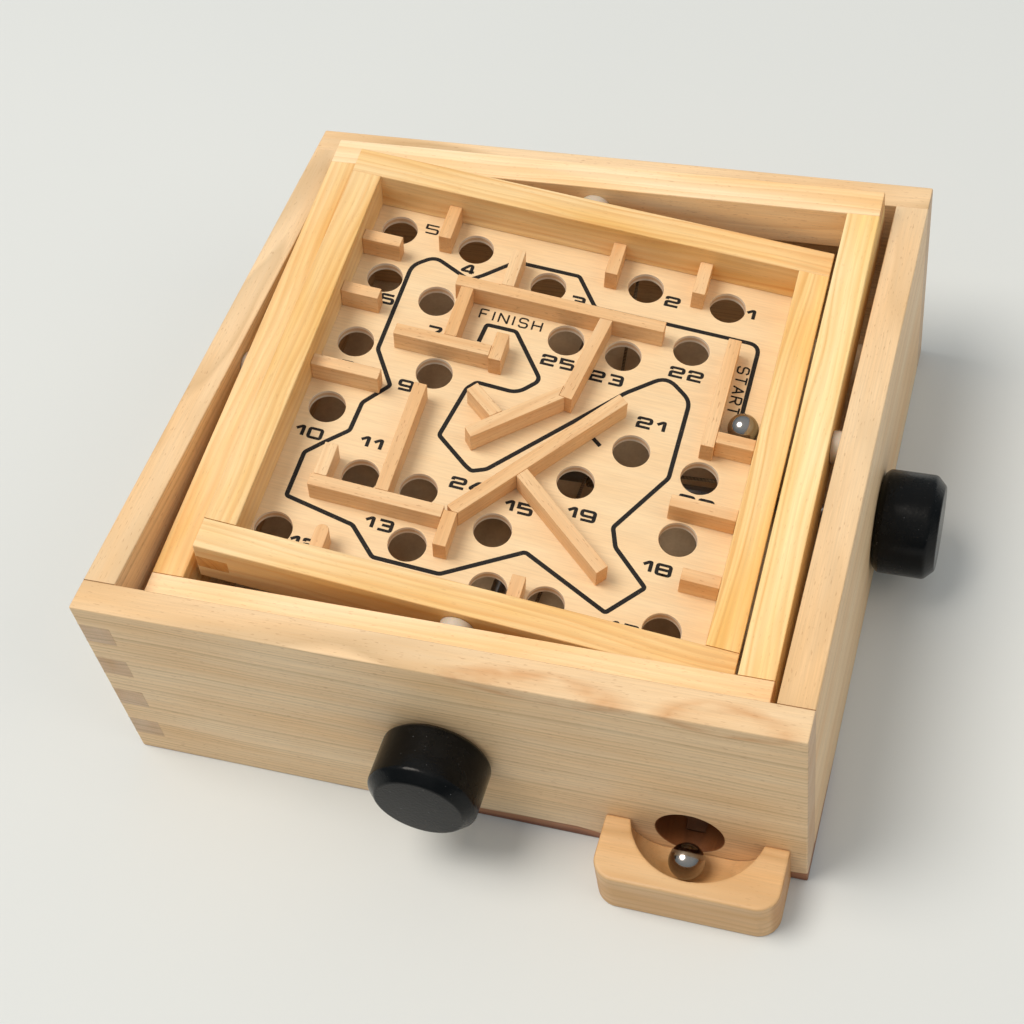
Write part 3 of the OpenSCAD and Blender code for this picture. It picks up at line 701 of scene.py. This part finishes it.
# %% Two knobs
# The front shaft lies at this x and z, the right one at this y and z. A knob stands clear of its wall.
(FRONT_X, FRONT_Z), (RIGHT_Y, RIGHT_Z) = (0, 45), (12, 31)
KNOB_FOOT = WALL_HALF + 0.5
for node, body, foot, axis in (("front_knob", "front_control", (FRONT_X, -KNOB_FOOT, FRONT_Z), (0, -1, 0)),
                               ("right_knob", "right_control", (KNOB_FOOT, RIGHT_Y, RIGHT_Z), (1, 0, 0))):
    co, faces = lathe(rounded(KNOB_CORNERS, KNOB_ROUND), foot, axis, 128)
    show(surface("turned_" + node, placed(co, "box"), faces), body, LACQUER, [node])
print("knobs turned: radius", KNOB_R, "length", KNOB_L)

# %% [markdown]
# ## Steel balls
# Bearing balls are ground and polished until they mirror the room. A ball is a half circle turned
# about its axis. What makes it look used is a faint haze: its shine changes a little from place to place.

# %% Polished steel
def steel(tree, tint, low, high, size):
    """Steel: metal with a haze of patches of a size (mm), in which the roughness varies from low to high."""
    haze = noise(tree, place_of(tree), size * MM, 4.0, 0.65)
    body = tinted(tree, 1.0, tint, spread(tree, haze, 0.93, 1.0))
    close(tree, {"Base Color": body, "Metallic": 1.0, "Roughness": spread(tree, haze, low, high)})


# Ground and polished bearing steel.
POLISHED = make_material("polished_steel", steel, "#A5A09C", 0.09, 0.22, 1.4)
# Bright drawn rod and wire, as it comes from the draw plate.
DRAWN = make_material("drawn_steel", steel, "#8F9194", 0.24, 0.42, 1.2)
print("steels:", POLISHED.name, DRAWN.name)

# %% Two balls
for node in ("play_ball", "tray_ball"):
    low, high = (np.array(corner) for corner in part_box(node))
    radius = (high - low).max() / 2 / MM
    t = np.linspace(0, np.pi, 49)
    half_circle = radius * np.stack((np.sin(t), -np.cos(t)), axis=1)
    co, faces = lathe(half_circle, (0, 0, 0), (0, 0, 1), 96)
    ball = surface("ground_" + node, co * MM + (low + high) / 2, faces)
    show(ball, node, POLISHED, [node])
    print(node, "radius", round(radius, 3))

# %% [markdown]
# ## Nylon spacers
# White nylon washers keep the frames from rubbing. They are cut from rod and their edges are broken,
# so each is a rounded rectangle turned about the pin. Nylon lets a little light in, which softens it.

# %% Nylon and the spacers
def nylon(tree):
    """Natural nylon: off-white with a slow yellowing and a little light under the skin."""
    age = noise(tree, place_of(tree), 6 * MM, 3.0)
    body = mix(tree, age, "#CFC4B6", "#BEB2A1")
    close(tree, {"Base Color": body, "Roughness": remap(tree, age, 0, 1, 0.35, 0.55), "IOR": 1.53,
                 "Subsurface Weight": 0.25, "Subsurface Scale": 1.0 * MM})


# Natural nylon, cut from rod.
NYLON = make_material("natural_nylon", nylon)
RING_IN, RING_SEAM, RING_OUT, RING_ROUND = 2.55, 4.5, 6.5, 0.5


def washer(node, body, foot, axis, start, thick):
    """Both washers of a node, one on each side of its foot: rectangles from RING_IN to RING_OUT with rounded
    corners, thick mm along the axis from start on, in the axes of the body."""
    way = np.array(axis, float)
    seam = (RING_SEAM, 0)
    corners = (seam, (RING_OUT, 0), (RING_OUT, thick), (RING_IN, thick), (RING_IN, 0), seam)
    ring = rounded(corners, RING_ROUND)[:-1]
    co, faces = join([lathe(ring, way * sign * start, way * sign, 64, True) for sign in (-1, 1)])
    show(surface("turned_" + node, placed(co + foot, body), faces), body, NYLON, [node])


# They fill the gaps between the outer frame and the box, and between the two frames.
washer("outer_pivot_spacers", "box", (0, 0, PIVOT[2] / MM), X_WAY, 122.6, 3.8)
washer("inner_pivot_spacers", "outer_frame", (0, 0, 0), Y_WAY, 103.6, 5.3)
print("spacers turned: radius", RING_OUT)

# %% [markdown]
# ## Cords
# A thin twisted cord is wound on each shaft, and its two ends run tight to screw eyes under a frame and
# end in a knot. The winding is a circle carried along a helix. A tight run is straight, so it needs only
# its two end rings, and because it joins two bodies it is blended between them: one end stays by the
# shaft and the other goes with the eye. The two strands of the twist are drawn by the shader from an
# attribute with the cosine and sine round the cord and the millimetres along it.

# %% Twisted cord
CORD_R, CORD_LAY, WIND_R, TURNS, PITCH = 0.7, 3.0, 3.72, 7, 1.26
SPAN = (TURNS - 1) * PITCH


def twist(tree):
    """Two-strand cord: shade = |cos(a) cos(k s) + sin(a) sin(k s)|, a round the cord and s along it, with
    k = 2 pi / CORD_LAY."""
    lay = add(tree, "Attribute", {"attribute_name": "lay"}, out="Vector")
    part = add(tree, "SeparateXYZ", {}, {0: lay}).node.outputs
    turn = maths(tree, "MULTIPLY", part["Z"], 2 * math.pi / CORD_LAY)
    level = maths(tree, "MULTIPLY", part["X"], maths(tree, "COSINE", turn))
    wave = maths(tree, "MULTIPLY_ADD", part["Y"], maths(tree, "SINE", turn), level)
    strand = maths(tree, "ABSOLUTE", wave)
    body = mix(tree, strand, "#5F4C36", "#8F7757")
    bump = bumped(tree, 0.8, 0.25, strand)
    close(tree, {"Base Color": body, "Roughness": 0.8, "Sheen Weight": 0.2, "Normal": bump})


def tube(path, radius, around=10):
    """A circle carried along a path: point(i, a) = path_i + r (cos a n1_i + sin a n2_i); flat end caps.
    Also gives its lay: (cos a, sin a, length so far)."""
    path = np.asarray(path, float)
    way = unit(np.gradient(path, axis=0))
    n1 = unit(np.cross(way, (0.3, 0.5, 0.81)))
    n2 = np.cross(way, n1)
    a = np.linspace(0, 2 * np.pi, around, endpoint=False)
    ring = np.cos(a)[:, None] * n1[:, None] + np.sin(a)[:, None] * n2[:, None]
    co = path[:, None] + radius * ring
    gone = np.concatenate(((0,), np.cumsum(np.linalg.norm(np.diff(path, axis=0), axis=1))))
    lay = np.stack(np.broadcast_arrays(np.cos(a), np.sin(a), gone[:, None]), axis=-1)
    faces = grid_faces(len(path), around).tolist()
    caps = [list(range(around)), list(range(around * (len(path) - 1), around * len(path)))]
    return co.reshape(-1, 3), faces + caps, lay.reshape(-1, 3)


# Waxed twisted cord, two strands.
CORD = make_material("twisted_cord", twist)
print("cord of", 2 * CORD_R, "mm, one turn of its strands in", CORD_LAY, "mm")

# %% Windings
CORD_X, TURN_STEPS = 20, 30
RIGHT_COIL, FRONT_COIL = np.array((CORD_X, RIGHT_Y, RIGHT_Z)), np.array((FRONT_X, 0, FRONT_Z))
UP = np.array((0, 0, 1.0))
for side, centre, way in (("right", RIGHT_COIL, X_WAY), ("front", FRONT_COIL, Y_WAY)):
    turn = np.linspace(0, (TURNS - 1) * 2 * np.pi, TURN_STEPS * (TURNS - 1) + 1)[:, None]
    axis = np.array(way, float)
    helix = centre + (turn / (2 * np.pi) * PITCH - SPAN / 2) * axis \
        + WIND_R * (np.cos(turn) * UP + np.sin(turn) * np.cross(axis, UP))
    co, faces, lay = tube(helix, CORD_R)
    node = side + "_cord_winding"
    coil = surface("wound_" + node, placed(co, "box"), faces, lay=lay)
    show(coil, side + "_control", CORD, [node])
print("windings:", TURNS, "turns each")

# %% Tight runs with their knots
KNOT_R, KNOT_BEHIND, TAIL = 2.2, 2.7, 2.5
# A run starts where it is clear of the winding, and hangs in the bottom of its eye.
RUN_START = math.sqrt((WIND_R + 1.1 * 2 * CORD_R) ** 2 - WIND_R ** 2)
EYE_HANG = 1.1
OUTER_EYE, INNER_EYE = np.array((CORD_X, 115.75, -14.8 - EYE_HANG)), np.array((101, 0, -17.8 - EYE_HANG))


def run(name, node, bodies, centre, axis, eye):
    """A tight run: the line that just touches the winding, up to the eye and a knot behind it (mm)."""
    across = unit(np.cross(eye - centre, axis))
    start = centre + across * np.sign(across[2]) * WIND_R
    way = unit(eye - start)
    start = start + way * RUN_START
    line, faces, lay = tube((start, eye + way * TAIL), CORD_R)
    t = np.linspace(0, np.pi, 13)
    lobes = KNOT_R * (1 - 0.12 * np.cos(6 * t))
    profile = np.stack((lobes * np.sin(t), -KNOT_R * np.cos(t)), axis=1)
    knot, knot_faces = lathe(profile, eye + way * KNOT_BEHIND, way, 20)
    co, faces = np.vstack((line, knot)), faces + (knot_faces + len(line)).tolist()
    lay = np.vstack((lay, np.stack(np.broadcast_arrays(1.0, 0.0, knot @ way), axis=-1)))
    cord = surface(name, placed(co, "box"), faces, 180, lay)
    cord.data.materials.append(CORD)
    link(cord)
    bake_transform(cord, *bodies, start=tuple(placed(start, "box")), end=tuple(placed(eye, "box")))
    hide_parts(node)


for sign, outer_end, inner_end in ((-1, "front", "left"), (1, "back", "right")):
    centre = RIGHT_COIL + (sign * SPAN / 2, 0, 0)
    eye = own(placed(OUTER_EYE * (1, sign, 1), "outer_frame"), "box")
    run("cord_to_" + outer_end, "outer_cord", ("box", "outer_frame"), centre, X_WAY, eye)
    centre = FRONT_COIL + (0, sign * SPAN / 2, 0)
    eye = own(placed(INNER_EYE * (sign, 1, 1), "maze_tray"), "box")
    run("cord_to_" + inner_end, "inner_cord", ("outer_frame", "maze_tray"), centre, Y_WAY, eye)

# %% [markdown]
# ## Rods, eyes and the return floor
# Pins, shafts, collars and screw eyes keep the shape of their solids, and only take a finish. So does
# the return floor, a sheet of pale hardboard: pressed fibre, smooth on top and mottled. Every ball rolls
# over its corner by the outlet, which is darkened as painted shade for the dark inside of the outlet.

# %% Steel rods and hardboard
def hardboard(tree):
    """Pressed fibre: mottled by noise of 1.5 mm and 12 mm, and darkened within 6 cm of the outlet as painted
    shade.
    """
    place = place_of(tree)
    fine = noise(tree, place, 1.5 * MM, 4.0, 0.6)
    body = mix(tree, fine, "#D6BA94", "#EAD3B2")
    body = tinted(tree, 1.0, body, spread(tree, noise(tree, place, 12 * MM, 3.0), 0.85, 1.1))
    # painted shade: the floor darkens towards the outlet, for the shadow inside it
    away = vectors(tree, "DISTANCE", place, tuple(placed(OUTLET, "box")))
    body = tinted(tree, remap(tree, away, 20 * MM, 60 * MM, 0.9, 0.0), body, "#7C4B28")
    bump = bumped(tree, 0.3, 0.1, fine)
    close(tree, {"Base Color": body, "Roughness": 0.6, "IOR": 1.5, "Normal": bump})


# Hardboard, pressed from pale wood fibre, smooth side up.
HARDBOARD = make_material("tempered_hardboard", hardboard)
KEPT = {"return_floor": HARDBOARD}
for name in ("outer_pivot_pins", "inner_pivot_pins", "right_shaft", "front_shaft", "right_collar",
             "front_collar", "outer_cord_eyes", "inner_cord_eyes"):
    KEPT[name] = DRAWN
for name, material in KEPT.items():
    slots = frame["nodes"][name].data.materials
    slots.clear()
    slots.append(material)
print("solids with a finish only:", len(KEPT))

# %% [markdown]
# ## The printed course
# Route, numbers and the words at its two ends are screen printed on the board in charcoal ink. A print
# has no thickness to speak of, but a picture of it would need an image. So each stroke is a flat ribbon,
# 0.08 mm thick: a rectangle carried along a line, mitred at its bends. The ink is a little broken where
# the mesh of the screen left it thin, and there the wood shows through.

# %% Ink and ribbons
INK_T, INK_ROOT, BOARD_TOP, COURSE_BACK = 0.08, 0.03, -9.5, 1.5


def ink(tree):
    """Screen printing ink: charcoal, with pin holes where the noise of 0.8 mm runs high."""
    place = place_of(tree)
    body = mix(tree, noise(tree, place, 14 * MM, 2.0), "#141312", "#221F1D")
    gap = remap(tree, noise(tree, place, 0.8 * MM, 2.0), 0.68, 0.8, 0.0, 0.5)
    body = mix(tree, gap, body, "#B9986C")
    close(tree, {"Base Color": body, "Roughness": 0.75, "IOR": 1.4})


def ribbon(line, width, thick=INK_T):
    """A rectangle width x thick carried along a flat line: at a bend the two sides meet on the mitre,
    m = (n1 + n2) / (1 + n1.n2), with n1 and n2 the normals of the two sides. A pair of widths is for
    upright and for level strokes."""
    p = np.asarray(line, float)
    way = unit(np.diff(p, axis=0))
    normal = np.stack((-way[:, 1], way[:, 0]), axis=1)
    n1, n2 = np.vstack((normal[:1], normal)), np.vstack((normal, normal[-1:]))
    mitre = (n1 + n2) / (1 + np.maximum((n1 * n2).sum(axis=1), -0.5))[:, None]
    left, right = p + mitre * width / 2, p - mitre * width / 2
    root, top = np.full((len(p), 1), -INK_ROOT), np.full((len(p), 1), thick)
    corners = ((left, root), (right, root), (right, top), (left, top))
    co = np.stack([np.hstack(corner) for corner in corners], axis=1).reshape(-1, 3)
    last = 4 * (len(p) - 1)
    return co, grid_faces(len(p), 4).tolist() + [[3, 2, 1, 0], [last, last + 1, last + 2, last + 3]]


# Charcoal screen printing ink on sealed wood.
INK = make_material("printed_ink", ink)


def printed(name, parts):
    """Ribbons in the tray's plane, as one piece on the board."""
    co, faces = join(parts)
    piece = surface(name, placed(co + (0, COURSE_BACK, BOARD_TOP), "maze_tray"), faces, 30)
    show(piece, "maze_tray", INK)


print("ink mixed:", INK.name)

# %% The route
ROUTE = ((83.6, 20), (83.6, 60.5, 5), (12, 60.5), (1.4, 74.75), (-27, 74.75), (-38.5, 63.9),
         (-43.9, 59.6), (-61.4, 67.6, 4), (-69.75, 60.5, 4), (-70.4, 14.25), (-59.75, -2), (-68.25, -13.25),
         (-68.9, -27.6), (-77, -35.75), (-83.25, -42.6), (-83.5, -63.9), (-53.9, -69.5), (-42, -81.2),
         (-14.5, -81.2), (15.1, -62.6), (51.75, -79.75), (64, -65.1), (48.6, -50.75), (45.5, -42.25),
         (61.5, -13.9), (61.5, 24.9, 4), (49.6, 34.2, 6), (35.1, 21.5), (-10.1, -30.1),
         (-15.75, -32.6), (-18.9, -30.75), (-33.25, -19.75), (-28.9, 5.5), (-25.75, 9.5), (-8.25, 9, 4),
         (-0.6, 17.7, 3), (-17, 39), (-29.9, 39), (-30.75, 29.6))
SLIGHT_BEND, ROUTE_W, TICK_W = 1.2, 1.85, 1.7
# A third value is the bend of a corner. The tick is a short stroke of its own.
bends = np.array([p[2] if len(p) > 2 else SLIGHT_BEND for p in ROUTE[1:-1]])
route = rounded([p[:2] for p in ROUTE], bends)
tick = np.array(((23.3, -0.6), (31.2, -6.7)))
printed("printed_route", [ribbon(route, ROUTE_W), ribbon(tick, TICK_W)])
print("route length in mm:", round(float(np.linalg.norm(np.diff(route, axis=0), axis=1).sum())))

# %% [markdown]
# ## Numbers and words
# The numbers are wide and square with round corners, apart from a few sharp ones in 2 and 5, and their
# level strokes are thinner than the upright ones. The words are thin capitals. Each sign is a few strokes
# in a unit square, stretched to its width and height in millimetres, so one ribbon function prints them
# all. Strokes that cross lie a hair apart in height, so that their faces never coincide. The 5 by its
# hole is printed finer than the other numbers.

# %% Signs
STROKE_STEP = 0.008
SQUARE = ((0.5, 0), (1, 0), (1, 1), (0, 1), (0, 0), (0.5, 0))
SIGNS = {
    "0": (SQUARE,), "1": (((0, 0.66), (0.75, 1), (1, 1), (1, 0)),),
    "2": (((0, 0.74), (0, 1), (1, 1), (1, 0.5), (0, 0.5), (0, 0, 0), (1, 0)),),
    "3": (((0, 1), (1, 1), (1, 0), (0, 0)), ((0.25, 0.52), (1, 0.52))),
    "4": (((0.74, 0), (0.74, 1), (0.5, 1), (0, 0.36), (0, 0.25), (1, 0.25)),),
    "5": (((1, 1), (0, 1, 0), (0, 0.55, 0), (1, 0.55), (1, 0), (0, 0)),),
    "6": (((1, 1), (0, 1), (0, 0), (1, 0), (1, 0.55), (0, 0.55)),),
    "7": (((0, 1), (1, 1), (1, 0.72), (0.4, 0)),),
    "8": (SQUARE, ((0, 0.52), (1, 0.52))),
    "9": (((0, 0), (1, 0), (1, 1), (0, 1), (0, 0.45), (1, 0.45)),),
    "F": (((0, 0), (0, 1), (1, 1)), ((0, 0.52), (0.8, 0.52))), "I": (((0.5, 0), (0.5, 1)),),
    "N": (((0, 0), (0, 1), (1, 0), (1, 1)),),
    "H": (((0, 0), (0, 1)), ((1, 0), (1, 1)), ((0, 0.52), (1, 0.52))),
    "S": (((1, 0.8), (0.85, 1), (0.15, 1), (0, 0.8), (0, 0.6), (0.2, 0.5), (0.8, 0.5), (1, 0.4), (1, 0.2),
           (0.85, 0), (0.15, 0), (0, 0.2)),),
    "T": (((0, 1), (1, 1)), ((0.5, 0), (0.5, 1))),
    "A": (((0, 0), (0.5, 1), (1, 0)), ((0.2, 0.36), (0.8, 0.36))),
    "R": (((0, 0), (0, 1), (0.8, 1), (1, 0.85), (1, 0.65), (0.8, 0.5), (0, 0.5)), ((0.5, 0.5), (1, 0))),
}


def lettering(text, middle, widths, height, gap, stroke, corner, turn=0.0):
    """Ribbons of a text about its middle: each sign starts at the sum of the widths and gaps before it. A
    third value of a point is the radius of its corner."""
    starts = np.cumsum([0] + [w + gap for w in widths])
    whole = starts[-1] - gap
    spin = np.array(((math.cos(turn), math.sin(turn)), (-math.sin(turn), math.cos(turn))))
    parts = []
    for sign, width, start in zip(text, widths, starts):
        for k, line in enumerate(SIGNS[sign]):
            flat = np.array([q[:2] for q in line]) * (width, height) + (start - whole / 2, -height / 2)
            bends = np.array([q[2] if len(q) > 2 else corner for q in line[1:-1]])
            bent = rounded(flat, bends, 5) if len(flat) > 2 else flat
            parts.append(ribbon(bent @ spin + middle, stroke, INK_T + STROKE_STEP * k))
    return parts


print("signs drawn:", "".join(SIGNS))

# %% Print the numbers and the words
NUMBER_W, ONE_W, NUMBER_H, NUMBER_GAP, NUMBER_CORNER = 5.2, 2.9, 4.35, 2.65, 0.9
UPRIGHT_W, LEVEL_W, FINER = 1.5, 1.2, 0.65
WORD_H, WORD_STROKE, WORD_CORNER = 4.7, 0.75, 0.5
NUMBERS = ((76.5, 75.2), (43.1, 72.5), (3.9, 61.5), (-45.5, 65.1), (-67, 81.7), (-74.6, 40.2),
           (-50.5, 29.5), (-80.4, 2.4), (-53.6, -0.2), (-84.7, -33), (-58.7, -31), (-69.9, -82.9),
           (-44.1, -66.4), (-7.9, -86.8), (7, -43.9), (42, -86.8), (59.9, -84.8), (66.4, -55.5),
           (31.9, -40), (74.6, -22.25), (48.8, 9.2), (57.1, 37.4), (25.5, 26.4), (-15.2, -39.5),
           (4.1, 28.5))
numbers = []
for k, middle in enumerate(NUMBERS):
    text = str(k + 1)
    widths = [ONE_W if sign == "1" else NUMBER_W for sign in text]
    stroke = np.array((UPRIGHT_W, LEVEL_W)) * (FINER if text == "5" else 1)
    numbers += lettering(text, middle, widths, NUMBER_H, NUMBER_GAP, stroke, NUMBER_CORNER)
printed("printed_numbers", numbers)
words = []
for text, middle, widths, gap, turn in (
        ("FINISH", (-20.75, 44.1), (3.4, 0.4, 3.8, 0.4, 3.6, 3.8), 2.3, 0.0),
        ("START", (79.6, 35.5), (3.4, 3.6, 3.6, 3.4, 3.6), 1.7, -math.pi / 2)):
    words += lettering(text, middle, widths, WORD_H, gap, WORD_STROKE, WORD_CORNER, turn)
printed("printed_words", words)
print("numbers printed:", len(NUMBERS))

# %% [markdown]
# ## Floor and light
# The picture is a studio shot: a plain sheet under the object and one large soft light high on the left
# and a little to the front, which the highlights on the balls show. The pale room, lighter above than
# at its walls, fills the shadows, and so does a weak warm light from the right, a reflector that is left
# out of the mirrors. The colours are shown as they are, with no film curve over them.

# %% Floor
def paper(tree):
    """Pale matt paper with a faint unevenness."""
    cloud = noise(tree, place_of(tree), 1 / 3, 2.0)
    body = mix(tree, cloud, "#D3D8DA", "#D8DCDD")
    close(tree, {"Base Color": body, "Roughness": 0.9})


FLOOR_HALF = 4.0
edge = np.linspace(-FLOOR_HALF, FLOOR_HALF, 9)
grid = np.stack(np.broadcast_arrays(edge[:, None], edge[None, :], 0.0), axis=-1).reshape(-1, 3)
floor = surface("floor", grid, grid_faces(len(edge), len(edge), False, False))
floor.data.materials.append(make_material("pale_paper", paper))
link(floor)
print("floor:", len(floor.data.polygons), "faces")

# %% Light
def soft_light(name, place, size, power, tint):
    """A round area light that looks at the middle of the box."""
    light = bpy.data.objects.new(name, bpy.data.lights.new(name, "AREA"))
    light.data.shape, light.data.size = "DISK", size
    light.data.energy, light.data.color = power, srgb(tint)[:3]
    light.location = place
    light.rotation_euler = (Vector((0, 0, 0.05)) - Vector(place)).to_track_quat("-Z", "Y").to_euler()
    link(light)
    return light


soft_light("key", (-1.3, -0.5, 3.3), 2.0, 92, "#FFF5E8")
soft_light("fill", (2.6, -0.4, 2.1), 2.0, 17, "#FFEBD4").visible_glossy = False
world = bpy.data.worlds.new("pale_room")
world.use_nodes = True
sky = world.node_tree
height = add(sky, "SeparateXYZ", {}, {0: add(sky, "TexCoord", out="Generated")}, out="Z")
upper = remap(sky, height, -0.1, 0.9, 0.28, 0.66, "SMOOTHSTEP")
tint = mix(sky, height, "#C8DCE6", "#EAEBEA")
sky.links.new(tint, sky.nodes["Background"].inputs["Color"])
sky.links.new(upper, sky.nodes["Background"].inputs["Strength"])
bpy.context.scene.world = world
bpy.context.scene.view_settings.view_transform = "Standard"
